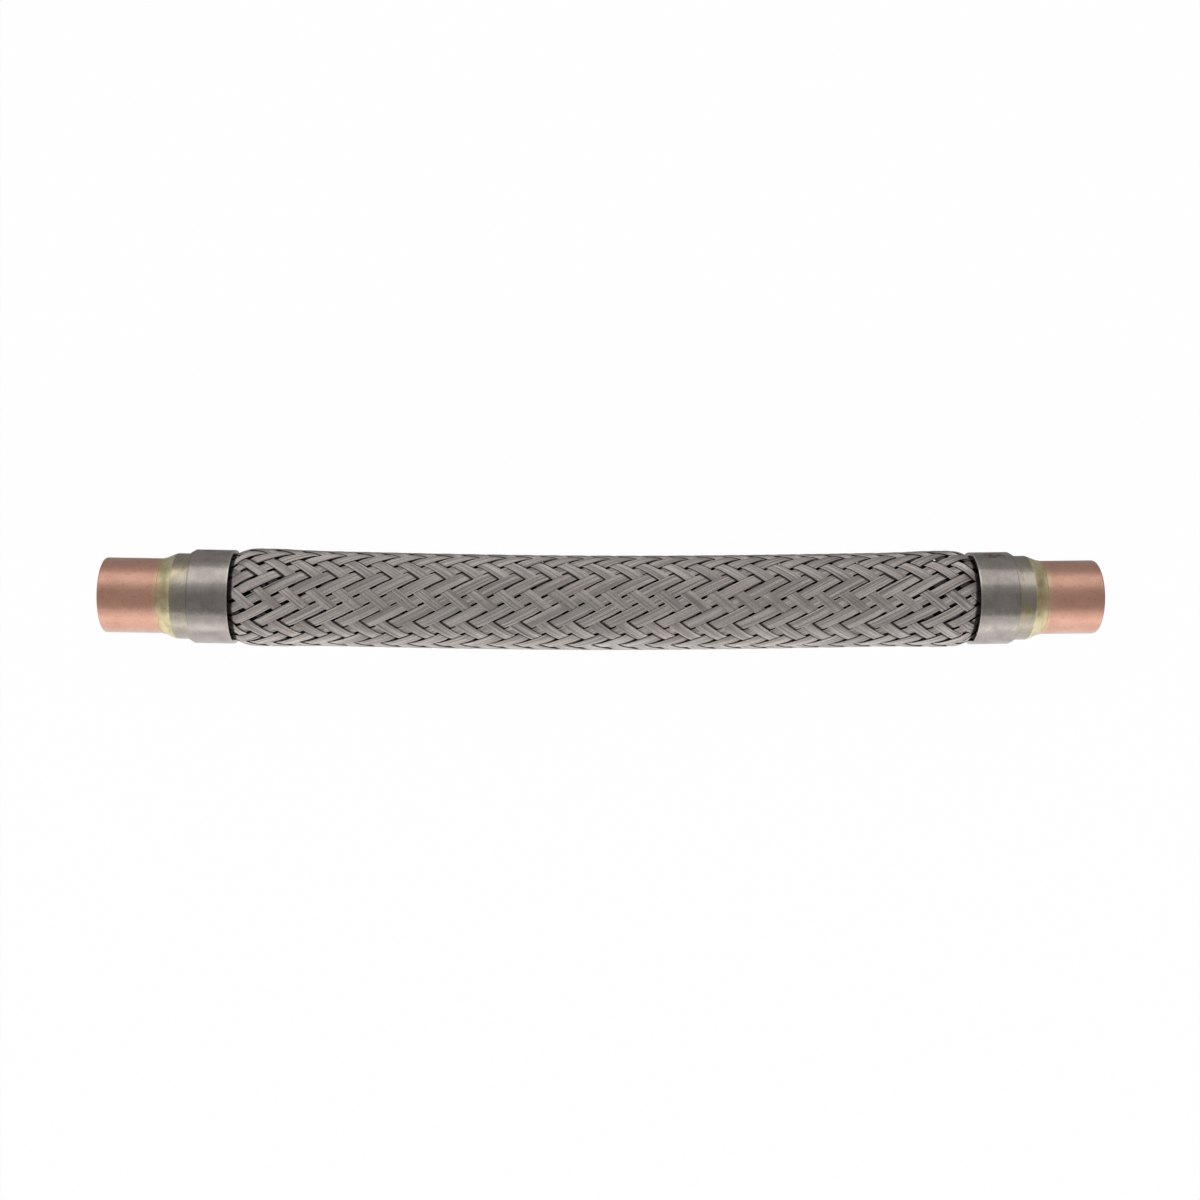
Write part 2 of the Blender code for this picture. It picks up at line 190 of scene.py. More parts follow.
# Camera and light
CAMERA_PLACE = (-15 * MM, -0.07 * MM, 370 * MM)
CAMERA_AIM_X = -1.34 * MM
CAMERA_ROLL = math.radians(0.116)
LENS = 45.63
SENSOR = 36
FLOOR_SIZE = 3.0
FLOOR_WHITE = 0.985  # share of plain white in what the camera sees of the floor
FLOOR_IN_METAL = 0.8  # share of the two brightnesses below in what metal shows of the floor
NEAR_FLOOR = 1.0
FAR_FLOOR = 0.27
FLOOR_CHANGE = 20 * MM  # how far either side of the part the floor's brightness in metal changes
NEAR_HORIZON = 0.8
FAR_HORIZON = 0.4
SIDE_HORIZON = 0.35  # share of the horizon's brightness beyond the part's two ends
ZENITH = 0.26
FAR_ZENITH = 0.44
AMBIENT = 0.12
# The sky's changes, each between two values of its direction across, along or up
HORIZON_CHANGE = (-0.3, 0.3)
OVERHEAD_CHANGE = (0.05, 0.5)
ENDS_CHANGE = (0.5, 0.9)
SKY_CHANGE = (0.12, 0.5)
# Lamps
BOX_DISTANCE = 0.8
BOX_WIDTH = 2.0
NEAR_BOX = (45, 90, 1.64)  # first and last angle from the zenith that it fills, and its brightness
FAR_BOX = (34, 74, 1.98)
FAR_BOX_ALONG = -0.4
FLOOR_KEY = (56, 72, 15)
NEAR_SIDE = -1
FAR_SIDE = 1


def mm(*sizes):
    """Sizes given in millimetres."""
    return tuple(size * MM for size in sizes)


def bow_angle(station):
    """How steeply the bowed centreline runs there. Past the mouths it is straight."""
    held = np.clip(station, -MOUTH, MOUTH)
    return np.arctan(BOW * math.pi / LENGTH * np.sin(2 * math.pi * held / LENGTH))


def bowed(points):
    """Where points of the straight part go when its centreline is bowed."""
    station, across, up = points[..., 0], points[..., 1], points[..., 2]
    held = np.clip(station, -MOUTH, MOUTH)
    beyond = station - held
    angle = bow_angle(station)
    sag = -BOW / 2 * np.cos(2 * math.pi * held / LENGTH)
    x = held + beyond * np.cos(angle) - np.sin(angle) * across
    y = sag + beyond * np.sin(angle) + np.cos(angle) * across
    return np.stack((x, y, up), axis=-1)


def around(station, angle, radius):
    """Points round the straight axis."""
    return np.stack((station, -radius * np.sin(angle), radius * np.cos(angle)), axis=-1)


def make_object(name, points, faces, material, marks=None):
    """A smooth mesh. marks holds named numbers for its points, which the material reads."""
    mesh = bpy.data.meshes.new(name)
    mesh.from_pydata(points.reshape(-1, 3).tolist(), [], faces)
    mesh.polygons.foreach_set("use_smooth", [True] * len(mesh.polygons))
    for mark, values in (marks or {}).items():
        layer = mesh.attributes.new(mark, "FLOAT", "POINT")
        layer.data.foreach_set("value", values.reshape(-1).astype(np.float32))
    mesh.materials.append(material)
    mesh.update()
    obj = bpy.data.objects.new(name, mesh)
    bpy.context.scene.collection.objects.link(obj)
    return obj


def recalc(obj):
    """Turns every face outwards."""
    bm = bmesh.new()
    bm.from_mesh(obj.data)
    bmesh.ops.recalc_face_normals(bm, faces=bm.faces)
    bm.to_mesh(obj.data)
    bm.free()
    obj.data.polygons.foreach_set("use_smooth", [True] * len(obj.data.polygons))
    obj.data.update()


# Profiles of turned pieces


def fillet(corners, steps=5):
    """Rounds the corners of a closed outline given as (station, radius, rounding)."""
    points = []
    count = len(corners)
    for index, (x, r, rounding) in enumerate(corners):
        here = Vector((x, r))
        if rounding <= 0:
            points.append(here)
            continue
        before = Vector(corners[index - 1][:2]) - here
        after = Vector(corners[(index + 1) % count][:2]) - here
        half = before.angle(after) / 2
        reach = min(rounding / math.tan(half), before.length * 0.49, after.length * 0.49)
        start = here + before.normalized() * reach
        end = here + after.normalized() * reach
        for step in range(steps + 1):
            t = step / steps
            points.append(start * (1 - t) ** 2 + here * (2 * t * (1 - t)) + end * t * t)
    return points


def fine(points, longest):
    """Adds points so that no step of a closed outline is longer than the given length."""
    result = []
    for here, there in zip(points, points[1:] + points[:1]):
        pieces = max(1, math.ceil((there - here).length / longest))
        result += [here.lerp(there, piece / pieces) for piece in range(pieces)]
    return result


def turned(name, outline, direction, material, segments=128, shape=None):
    """Turns a closed outline about the axis at one end. shape moves (station, angle, radius)."""
    angles = np.arange(segments) * 2 * math.pi / segments
    station = np.array([p.x for p in outline])[None, :] + 0 * angles[:, None]
    radius = np.array([p.y for p in outline])[None, :] + 0 * angles[:, None]
    angle = angles[:, None] + 0 * station
    if shape:
        station, radius = shape(station, angle, radius)
    points = bowed(around(direction * station, angle, radius))
    count = len(outline)
    faces = []
    for i in range(segments):
        j = (i + 1) % segments
        for k in range(count):
            m = (k + 1) % count
            faces.append((i * count + k, i * count + m, j * count + m, j * count + k))
    obj = make_object(name, points, faces, material)
    recalc(obj)
    return obj


def waves(rng, count, lowest, highest):
    """A smooth closed function of the angle, about one high."""
    parts = [
        (rng.randint(lowest, highest), rng.uniform(0, 2 * math.pi), rng.uniform(0.5, 1))
        for _ in range(count)
    ]
    return lambda angle: sum(a * np.sin(n * angle + p) for n, p, a in parts) / math.sqrt(count)


# Braid


def braid_radius(station):
    """The braid's outer radius: swollen near the mouths and pinched in at them."""
    from_middle = np.abs(station)
    bulge = (from_middle - (MOUTH - BULGE_FROM_MOUTH)) / BULGE_SPREAD
    radius = BRAID_R + BULGE * np.exp(-bulge * bulge)
    pinch = np.clip((from_middle - (MOUTH - PINCH_LENGTH)) / (PINCH_LENGTH - HELD_DOWN), 0, 1)
    return radius + (CLAMPED_R - radius) * pinch**PINCH_CURVE


def wave(u):
    """Over from -0.5 to 1.5, under from 1.5 to 3.5, and so on."""
    swing = np.cos((u - 0.5) * math.pi / 2)
    return np.tanh(WAVE_SQUARENESS * swing) / math.tanh(WAVE_SQUARENESS)


def wander(rng, steps, size):
    """A smooth seeded curve over the length of a wire, about `size` high: five slow ripples."""
    total = np.zeros_like(steps)
    for _ in range(5):
        total += np.sin(steps * rng.uniform(0.12, 0.9) + rng.uniform(0, 2 * math.pi))
    return total * size / 2


def weave_turn(station):
    """How far the weave has turned round the part by there."""
    left = LEFT_TURN * (1 - np.exp(-((station / LEFT_TURN_LENGTH) ** 2)))
    right = RIGHT_TURN * (1 - np.exp(-((station / RIGHT_TURN_LENGTH) ** 2)))
    return np.where(station < 0, left, right)


def weave_point(column, row):
    """Station and angle of a place in the weave's grid."""
    angle = WEAVE_TURN + row * ROW_ANGLE
    station = WEAVE_SHIFT + column * COLUMN_STEP + WEAVE_LEAN * np.sin(angle)
    return station, angle + weave_turn(station)


def weave_place(station, angle):
    """Column and row in the weave's grid of a place on the braid."""
    angle = angle - weave_turn(station)
    column = (station - WEAVE_SHIFT - WEAVE_LEAN * np.sin(angle)) / COLUMN_STEP
    return column, (angle - WEAVE_TURN) / ROW_ANGLE


def smooth_step(value, low, high):
    """Rises smoothly from 0 at low to 1 at high."""
    t = np.clip((value - low) / (high - low), 0, 1)
    return t * t * (3 - 2 * t)


def tube(path, outward, radius):
    """Rings of points round a path, one for each of its points."""
    along = np.gradient(path, axis=0)
    along /= np.linalg.norm(along, axis=1, keepdims=True)
    side = np.cross(along, outward)
    side /= np.linalg.norm(side, axis=1, keepdims=True)
    up = np.cross(side, along)
    turn = np.arange(WIRE_SIDES) * 2 * math.pi / WIRE_SIDES
    ring = np.cos(turn)[None, :, None] * up[:, None, :] + np.sin(turn)[None, :, None] * side[:, None, :]
    return path[:, None, :] + radius * ring


def tube_faces(first, rings):
    """Faces over rings of points that begin at the point `first`, with both ends closed."""
    faces = []
    for ring in range(rings - 1):
        a = first + ring * WIRE_SIDES
        b = a + WIRE_SIDES
        for side in range(WIRE_SIDES):
            other = (side + 1) % WIRE_SIDES
            faces.append((a + side, a + other, b + other, b + side))
    last = first + (rings - 1) * WIRE_SIDES
    faces.append(tuple(first + side for side in reversed(range(WIRE_SIDES))))
    faces.append(tuple(last + side for side in range(WIRE_SIDES)))
    return faces


def splits_of(rng, steps, station):
    """Splits in a band: the wire after the split, where it is, half its length and its width."""
    splits = []
    for _ in range(SPLITS):
        split = (rng.randrange(1, WIRES), rng.uniform(steps[0], steps[-1]), rng.uniform(*SPLIT_REACH))
        splits.append((*split, rng.uniform(*SPLIT_WIDTH) * MM))
    for side in (-1, 1):
        place = side * (MOUTH - STRAY_FROM_MOUTH * rng.uniform(*STRAY_SHARE))
        nearest = steps[np.argmin(np.abs(station - place))]
        split = (rng.choice((1, WIRES - 1)), nearest, rng.uniform(*STRAY_REACH))
        splits.append((*split, rng.uniform(*STRAY_WIDTH) * MM))
    return splits


def band(name, family, number, material):
    """One band of wires. Family 1 winds forwards as it goes round, family -1 back.

    Its marks are each wire's own tone, its place in the weave (at the top of a float at 0.5, 4.5
    and so on) and how open the weave is over it where it lies under: 1 for backward bands on top
    of the part and for forward bands below it, -1 for the others, and 0 halfway round.
    """
    rng = random.Random(1000 * (family + 2) + number)
    reach = 2 * CARRIERS + math.ceil(WIRE_END / COLUMN_STEP) + 4
    steps = np.array([k + s for k in range(-reach, reach) for s in SAMPLES], float)
    station, angle = weave_point(2 * number + family * steps, steps)
    inside = np.abs(station) < WIRE_END + PAST_WIRE_END
    steps, station, angle = steps[inside], station[inside], angle[inside]
    from_middle = np.abs(station)
    radius = braid_radius(station)
    d_station = np.gradient(station)
    d_arc = np.gradient(angle) * radius
    length = np.hypot(d_station, d_arc)
    drawn = smooth_step(from_middle, DRAWN_FROM, DRAWN_TO)
    spacing = WIRE_SPACING + (END_SPACING - WIRE_SPACING) * drawn
    drift = wander(rng, steps, BAND_DRIFT) * (1 + smooth_step(from_middle, DRIFT_FROM, DRIFT_TO))
    splits = splits_of(rng, steps, station)
    points, faces = [], []
    marks = {"tone": [], "weave": [], "open": []}
    begin = 0
    for wire in range(WIRES):
        offset = (wire - (WIRES - 1) / 2) * spacing
        offset = offset + drift + wander(rng, steps, WIRE_DRIFT) + rng.gauss(0, WIRE_OFFSET)
        for after, middle, half, width in splits:
            side = 0.5 if wire >= after else -0.5
            offset = offset + side * width * np.exp(-(((steps - middle) / half) ** 2))
        wire_station = station - d_arc / length * offset
        wire_angle = angle + d_station / length * offset / radius
        column, row = weave_place(wire_station, wire_angle)
        place = (column + row) / 2 - number if family > 0 else number - (column - row) / 2
        over = family * wave(place)
        height = WAVE * over + wander(rng, steps, WIRE_LIFT)
        wire_radius = braid_radius(wire_station) - BRAID_WALL / 2 + height
        path = bowed(around(wire_station, wire_angle, wire_radius))
        outward = around(0 * wire_station, wire_angle, 1 + 0 * wire_angle)
        kept = np.abs(wire_station) < WIRE_END
        points.append(tube(path[kept], outward[kept], WIRE_R).reshape(-1, 3))
        rings = int(kept.sum())
        faces += tube_faces(begin, rings)
        begin += rings * WIRE_SIDES
        marks["tone"].append(rng.random() + wander(rng, steps[kept], TONE_DRIFT))
        # The weave and open marks tell the material where to paint shade
        marks["weave"].append(place[kept] + 1 - family)
        marks["open"].append(-family * np.cos(wire_angle[kept]))
    marks = {mark: np.repeat(np.concatenate(values), WIRE_SIDES) for mark, values in marks.items()}
    return make_object(name, np.concatenate(points), faces, material, marks)


# Materials

# Where a Mix node keeps its factor and its two values of each kind, and the result
VECTOR_MIX_INPUTS, VECTOR_MIX_OUTPUT = (0, 4, 5), 1
COLOR_MIX_INPUTS, COLOR_MIX_OUTPUT = (0, 6, 7), 2


class Tree:
    """A node tree, with short calls for the patterns it is made of."""

    def __init__(self, tree):
        self.tree = tree

    def node(self, kind, **inputs):
        """A new node, and what feeds its inputs: From_Min feeds the one named From Min."""
        made = self.tree.nodes.new(kind)
        for name, value in inputs.items():
            self.feed(made.inputs[name.replace("_", " ")], value)
        return made

    def feed(self, socket, value):
        if isinstance(value, bpy.types.NodeSocket):
            self.tree.links.new(value, socket)
        elif isinstance(value, tuple) and len(value) == 3 and socket.type == "RGBA":
            socket.default_value = (*value, 1)
        else:
            socket.default_value = value

    def math(self, operation, first, second=0.0, third=0.0):
        made = self.node("ShaderNodeMath")
        made.operation = operation
        for socket, value in zip(made.inputs, (first, second, third)):
            self.feed(socket, value)
        return made.outputs[0]

    def between(self, value, low, high, to_low=0.0, to_high=1.0):
        """Runs smoothly from to_low to to_high as the value goes from low to high."""
        made = self.node("ShaderNodeMapRange", Value=value, From_Min=low, From_Max=high,
                         To_Min=to_low, To_Max=to_high)
        made.interpolation_type = "SMOOTHSTEP"
        return made.outputs[0]

    def part(self, vector, index):
        """X, Y or Z of a vector."""
        return self.node("ShaderNodeSeparateXYZ", Vector=vector).outputs[index]


class Look(Tree):
    """A metal's material."""

    def __init__(self, name, roughness, metallic=1.0):
        self.material = bpy.data.materials.new(name)
        self.material.use_nodes = True
        super().__init__(self.material.node_tree)
        self.shader = self.tree.nodes["Principled BSDF"]
        self.shader.inputs["Metallic"].default_value = metallic
        self.shader.inputs["Roughness"].default_value = roughness
        self.place = self.node("ShaderNodeTexCoord").outputs["Object"]
        self.from_middle = self.math("ABSOLUTE", self.part(self.place, 0))

    def coat(self, weight, roughness):
        self.shader.inputs["Coat Weight"].default_value = weight
        self.shader.inputs["Coat Roughness"].default_value = roughness

    def noise(self, scale, detail=3.0, stretch=(1, 1, 1), shift=(0, 0, 0)):
        mapping = self.node("ShaderNodeMapping", Vector=self.place, Scale=stretch, Location=shift)
        made = self.node("ShaderNodeTexNoise", Vector=mapping.outputs[0], Scale=scale, Detail=detail,
                         Roughness=0.55)
        return made.outputs[0]

    def patches(self, scale, detail, low, high, least=0.0, most=1.0, shift=(0, 0, 0)):
        """Noise made into patches: least where it is below low, and most where it is above high."""
        return self.between(self.noise(scale, detail, shift=shift), low, high, least, most)

    def ragged(self, scale, detail, depth):
        """The distance from the part's middle made uneven, for an edge that isn't straight."""
        return self.math("MULTIPLY_ADD", self.noise(scale, detail), depth, self.from_middle)

    def from_axis(self):
        """The way from the axis of the nearer end fitting, straight out."""
        flat = self.vector("MULTIPLY", self.place, (0, 1, 1))
        return self.vector("SUBTRACT", flat, (0, END_AXIS_Y, 0))

    def level(self, share):
        """Turns the shading towards the straight cylinder's, so that the light runs on over a slope."""
        straight = self.vector("NORMALIZE", self.from_axis())
        outward = self.node("ShaderNodeVectorTransform", Vector=straight)
        outward.vector_type = "NORMAL"
        outward.convert_from = "OBJECT"
        outward.convert_to = "WORLD"
        made = self.node("ShaderNodeMix")
        made.data_type = "VECTOR"
        own = self.node("ShaderNodeNewGeometry").outputs["Normal"]
        for index, value in zip(VECTOR_MIX_INPUTS, (share, own, outward.outputs[0])):
            self.feed(made.inputs[index], value)
        turned_normal = self.vector("NORMALIZE", made.outputs[VECTOR_MIX_OUTPUT])
        self.feed(self.shader.inputs["Normal"], turned_normal)

    def mark(self, name):
        made = self.node("ShaderNodeAttribute")
        made.attribute_name = name
        return made.outputs["Fac"]

    def mix(self, factor, first, second):
        made = self.node("ShaderNodeMix")
        made.data_type = "RGBA"
        for index, value in zip(COLOR_MIX_INPUTS, (factor, first, second)):
            self.feed(made.inputs[index], value)
        return made.outputs[COLOR_MIX_OUTPUT]

    def vector(self, operation, first, second=None):
        made = self.node("ShaderNodeVectorMath")
        made.operation = operation
        self.feed(made.inputs[0], first)
        if second is not None:
            self.feed(made.inputs[1], second)
        return made.outputs["Value" if operation == "LENGTH" else "Vector"]

    def spot(self, centre, size, edge=0.5):
        """1 inside an ellipsoid that is `size` from its centre to its edge, and 0 outside."""
        from_centre = self.vector("SUBTRACT", self.place, centre)
        length = self.vector("LENGTH", self.vector("DIVIDE", from_centre, size))
        return self.between(length, 1 - edge, 1 + edge, 1.0, 0.0)

    def stained(self, color, spots, edge, share, tint):
        """The colour with a tint over each of the spots, as strong as share says."""
        for centre, size in spots:
            color = self.mix(self.math("MULTIPLY", self.spot(centre, size, edge), share), color, tint)
        return color

    def bump(self, height, strength, distance):
        """Adds a bump to the shading, over any that is there."""
        made = self.node("ShaderNodeBump", Height=height, Strength=strength, Distance=distance)
        if self.shader.inputs["Normal"].is_linked:
            self.feed(made.inputs["Normal"], self.shader.inputs["Normal"].links[0].from_socket)
        self.feed(self.shader.inputs["Normal"], made.outputs[0])

    def color(self, value):
        self.feed(self.shader.inputs["Base Color"], value)

    def roughness(self, value):
        self.feed(self.shader.inputs["Roughness"], value)


END_AXIS_Y = 0.66 * MM  # how far the bow moves the end fittings' axis
AROUND = (1, 0.08, 0.08)  # stretches a pattern round the part into fine turned lines
# Marks on the end fittings: where each lies and how far it reaches along X, Y and Z
RUST_SPOTS = (
    (mm(94.1, 10.7, 4.0), mm(2.3, 1.4, 1.7)),
    (mm(-95.0, 11.6, 2.2), mm(1.9, 0.7, 1.2)),
)
STRAW_SPOTS = (
    (mm(-100.9, 6.3, 8.2), mm(2.0, 2.4, 2.4)),
    (mm(99.3, 4.2, 9.6), mm(0.55, 0.7, 0.7)),
)
BROWN_SPOTS = (
    (mm(-104.6, 1.2, 9.8), mm(1.7, 4.2, 3.0)),
    (mm(104.2, 1.0, 9.8), mm(1.7, 4.2, 3.0)),
)
# Painted shade laid over the right ferrule's far-side highlight to dim it
DIMMED_HIGHLIGHT_SPOTS = ((mm(94.0, 5.6, 9.8), mm(7.0, 3.6, 3.6)),)
OLIVE_SPOTS = (
    (mm(100.5, -3.0, 9.8), mm(1.5, 2.2, 2.2)),
    (mm(98.9, -5.2, 9.0), mm(0.3, 1.8, 1.8)),
)

# How ragged the edge between braze and copper is, and where each takes on the other's colour
BRAZE_RAGGED = 2.4 * MM
COPPER_FROM, COPPER_TO = BRAZE_END + 0.1 * MM, BRAZE_END + 1.7 * MM
STRAW_FROM, STRAW_TO = BRAZE_END + 1.1 * MM, BRAZE_END + 2.6 * MM


def copper_look():
    look = Look("copper", 0.34, metallic=0.75)
    look.coat(0.8, 0.3)
    clean, dull = (0.81, 0.445, 0.325), (0.75, 0.39, 0.28)
    brown, straw = (0.48, 0.2, 0.14), (0.72, 0.56, 0.33)
    color = look.mix(look.patches(230, 4, 0.35, 0.7), clean, dull)
    color = look.mix(look.patches(2600, 2, 0.45, 0.8, 0.0, 0.3), color, brown)
    color = look.mix(look.patches(1100, 3, 0.52, 0.8, 0.0, 0.45, shift=(2, 5, 1)), color, brown)
    beside_braze = look.between(look.ragged(360, 4, BRAZE_RAGGED), STRAW_FROM, STRAW_TO, 0.75, 0.0)
    look.color(look.mix(beside_braze, color, straw))
    look.roughness(look.patches(500, 3, 0.3, 0.7, 0.31, 0.4))
    look.bump(look.noise(4200, 2, AROUND), 0.1, 0.02 * MM)
    look.bump(look.noise(1500, 3), 0.08, 0.03 * MM)
    return look.material


def braze_look():
    look = Look("braze", 0.38, metallic=0.85)
    yellow, green = (0.87, 0.78, 0.49), (0.74, 0.65, 0.35)
    brown, copper = (0.55, 0.36, 0.2), (0.76, 0.45, 0.3)
    color = look.mix(look.patches(260, 4, 0.4, 0.65), yellow, green)
    color = look.mix(look.patches(620, 4, 0.48, 0.72, 0.0, 0.5, shift=(3, 1, 2)), color, brown)
    color = look.stained(color, BROWN_SPOTS, 0.5, look.patches(500, 3, 0.3, 0.65, 0.15, 0.6), brown)
    at_toe = look.between(look.ragged(360, 4, BRAZE_RAGGED), COPPER_FROM, COPPER_TO, 0.0, 0.75)
    look.color(look.mix(at_toe, color, copper))
    look.roughness(look.patches(600, 3, 0.3, 0.7, 0.32, 0.44))
    look.bump(look.noise(700, 3), 0.2, 0.05 * MM)
    return look.material


def steel_look(name, pale, grey, levelled=0.0):
    """Turned steel and its colour, over which the caller lays tints."""
    look = Look(name, 0.3)
    if levelled:
        look.level(levelled)
    speck, line = (0.3, 0.27, 0.26), (0.33, 0.29, 0.28)
    color = look.mix(look.patches(330, 5, 0.35, 0.7), pale, grey)
    color = look.mix(look.patches(3000, 3, 0.5, 0.8, 0.0, 0.35), color, speck)
    lines = look.noise(3600, 3, AROUND)
    color = look.mix(look.between(lines, 0.5, 0.8, 0.0, 0.3), color, line)
    look.roughness(look.patches(700, 3, 0.3, 0.7, 0.2, 0.31))
    look.bump(lines, 0.14, 0.03 * MM)
    look.bump(look.noise(1200, 3), 0.12, 0.03 * MM)
    return look, color


def ferrule_look():
    pale, grey = (0.53, 0.477, 0.443), (0.425, 0.381, 0.355)
    # dull is a painted shade and bright a painted highlight; rust is a real stain
    dull, bright, rust = (0.34, 0.3, 0.28), (0.72, 0.66, 0.63), (0.19, 0.08, 0.063)
    look, color = steel_look("ferrule_steel", pale, grey)
    # Painted shade that dims the right ferrule's far-side highlight
    color = look.stained(color, DIMMED_HIGHLIGHT_SPOTS, 0.5, look.patches(600, 4, 0.3, 0.7, 0.5, 0.9), dull)
    # Painted highlight along the ferrule's outer edge at the mouth
    lip_highlight = look.between(look.from_middle, MOUTH + 0.1 * MM, MOUTH + 0.4 * MM, 0.7, 0.0)
    color = look.mix(lip_highlight, color, bright)
    look.color(look.stained(color, RUST_SPOTS, 0.45, look.patches(1300, 4, 0.42, 0.58, 0.35, 1.0), rust))
    return look.material


def neck_look(name, levelled=0.0):
    """Steel of the neck and the collar weld, tinted by heat, with dirt in the crevice of the weld."""
    pale, grey = (0.52, 0.467, 0.395), (0.455, 0.405, 0.345)
    straw, olive, dirt = (0.66, 0.56, 0.38), (0.56, 0.48, 0.27), (0.2, 0.17, 0.15)
    look, color = steel_look(name, pale, grey, levelled)
    share = look.patches(420, 4, 0.35, 0.65, 0.35, 1.0)
    color = look.stained(color, STRAW_SPOTS, 0.45, share, straw)
    color = look.stained(color, OLIVE_SPOTS, 0.45, share, olive)
    crevice_at = FERRULE_END + 0.08 * MM
    from_crevice = look.math("ABSOLUTE", look.math("SUBTRACT", look.from_middle, crevice_at))
    look.color(look.mix(look.between(from_crevice, 0.04 * MM, 0.18 * MM, 0.4, 0.0), color, dirt))
    return look.material


def wire_look():
    """Braid wire, with painted shade where it dives under the bands that cross it and in narrow gaps,
    and a painted shadow at a ferrule's mouth.
    """
    look = Look("braid_wire", 0.3)
    bright, dim, dull = (0.83, 0.77, 0.73), (0.51, 0.465, 0.44), (0.5, 0.46, 0.43)
    grain, painted_shade = (0.4, 0.36, 0.34), (0.03, 0.026, 0.023)
    color = look.mix(look.between(look.mark("tone"), 0.0, 1.0), bright, dim)
    color = look.mix(look.patches(300, 3, 0.45, 0.8, 0.0, 0.4), color, dull)
    color = look.mix(look.patches(2400, 2, 0.45, 0.7, 0.0, 0.3), color, grain)
    # Painted shade where a band dives under the crossing bands, stronger in the weave's narrow gaps
    from_top = look.math("PINGPONG", look.math("SUBTRACT", look.mark("weave"), 0.5), 2.0)
    gaps = look.between(look.mark("open"), *GAPS_UNSHADED, 1.0, 0.0)
    lines = look.between(look.mark("open"), *LINES_UNSHADED, 1.0, 0.0)
    dives = look.between(from_top, *DIVE, 0.0, CREVICE_SHADE)
    crevice = look.math("MULTIPLY", dives, look.mix(look.between(from_top, *IN_GAP), lines, gaps))
    # Painted shadow on the wires at a ferrule's mouth, with a ragged edge
    edge = -MOUTH_SHADOW_RAGGED / 2
    start, full = MOUTH - MOUTH_SHADOW_START + edge, MOUTH - MOUTH_SHADOW_FULL + edge
    mouth = look.between(look.ragged(700, 3, -MOUTH_SHADOW_RAGGED), start, full, 0.0, 0.95)
    look.color(look.mix(look.math("MAXIMUM", crevice, mouth), color, painted_shade))
    look.roughness(look.patches(600, 2, 0.3, 0.7, 0.28, 0.36))
    return look.material


def hose_look():
    """Steel inside; outside it is painted very dark, a painted shade for where it shows through the
    holes of the weave.
    """
    look = Look("hose_steel", 0.4)
    pale, grey, painted_shade = (0.3, 0.29, 0.28), (0.2, 0.19, 0.18), (0.035, 0.03, 0.028)
    color = look.mix(look.patches(500, 4, 0.35, 0.7), pale, grey)
    radius = look.vector("LENGTH", look.from_axis())
    # Painted shade: everything outside the cuff's radius is darkened
    outside = look.between(radius, CUFF_R + 0.1 * MM, CUFF_R + 0.6 * MM)
    look.color(look.mix(outside, color, painted_shade))
    look.roughness(look.patches(900, 3, 0.3, 0.7, 0.32, 0.45))
    look.bump(look.noise(1600, 3), 0.15, 0.03 * MM)
    return look.material


# Pieces of an end fitting


def copper_socket(name, direction, material):
    outline = fillet([
        (TIP, SOCKET_R, EDGE_ROUNDING),
        (SOCKET_START, SOCKET_R, 0.2 * MM),
        (SOCKET_START, SOCKET_BORE_R, 0.2 * MM),
        (TIP, SOCKET_BORE_R, EDGE_ROUNDING),
    ])
    return turned(name, fine(outline, FINE_STEP), direction, material)


def braze_fillet(name, direction, material):
    """The ring of braze, thin at its toe on the copper and swelling to the neck's height."""
    rng = random.Random(BRAZE_SEED + direction)
    start = NECK_END - BRAZE_OVER_NECK
    toe_r = SOCKET_SEAT_R + BRAZE_LAND * TOE_HEIGHT
    head_r = NECK_R + 0.01 * MM
    outline = []
    for step in range(BRAZE_STEPS + 1):
        run = step / BRAZE_STEPS
        swell = 0.55 * run * run * (3 - 2 * run) + 0.45 * run**1.3
        station = BRAZE_END + (start - BRAZE_END) * run
        outline.append(Vector((station, toe_r + (head_r - toe_r) * swell)))
    inner_r = SOCKET_R + 0.05 * MM
    outline += [Vector((start, inner_r)), Vector((BRAZE_END, inner_r))]
    toe, lumps = waves(rng, 6, 2, 13), waves(rng, 5, 3, 9)

    def flow(station, angle, radius):
        out = np.clip((station - start) / (BRAZE_END - start), 0, 1)
        shown = radius > inner_r + 0.01 * MM
        swollen = radius + shown * BRAZE_LUMPS * lumps(angle) * np.sin(math.pi * out)
        return station + out**3 * BRAZE_TOE_WAVES * toe(angle), swollen

    return turned(name, outline, direction, material, shape=flow)


def end_adapter(name, direction, material):
    outline = fillet([
        (NECK_END, NECK_R, 0.04 * MM),
        (SHOULDER_AT, NECK_R, 0),
        (SHOULDER_AT, SPIGOT_R, 0),
        (ADAPTER_START, SPIGOT_R, 0.15 * MM),
        (ADAPTER_START, HOSE_SEAT_R, 0),
        (HOSE_STOP, HOSE_SEAT_R, 0),
        (HOSE_STOP, FLOW_R, 0.1 * MM),
        (SOCKET_STOP, FLOW_R, 0.1 * MM),
        (SOCKET_STOP, SOCKET_SEAT_R, 0),
        (NECK_END, SOCKET_SEAT_R, 0),
    ])
    return turned(name, fine(outline, FINE_STEP), direction, material)


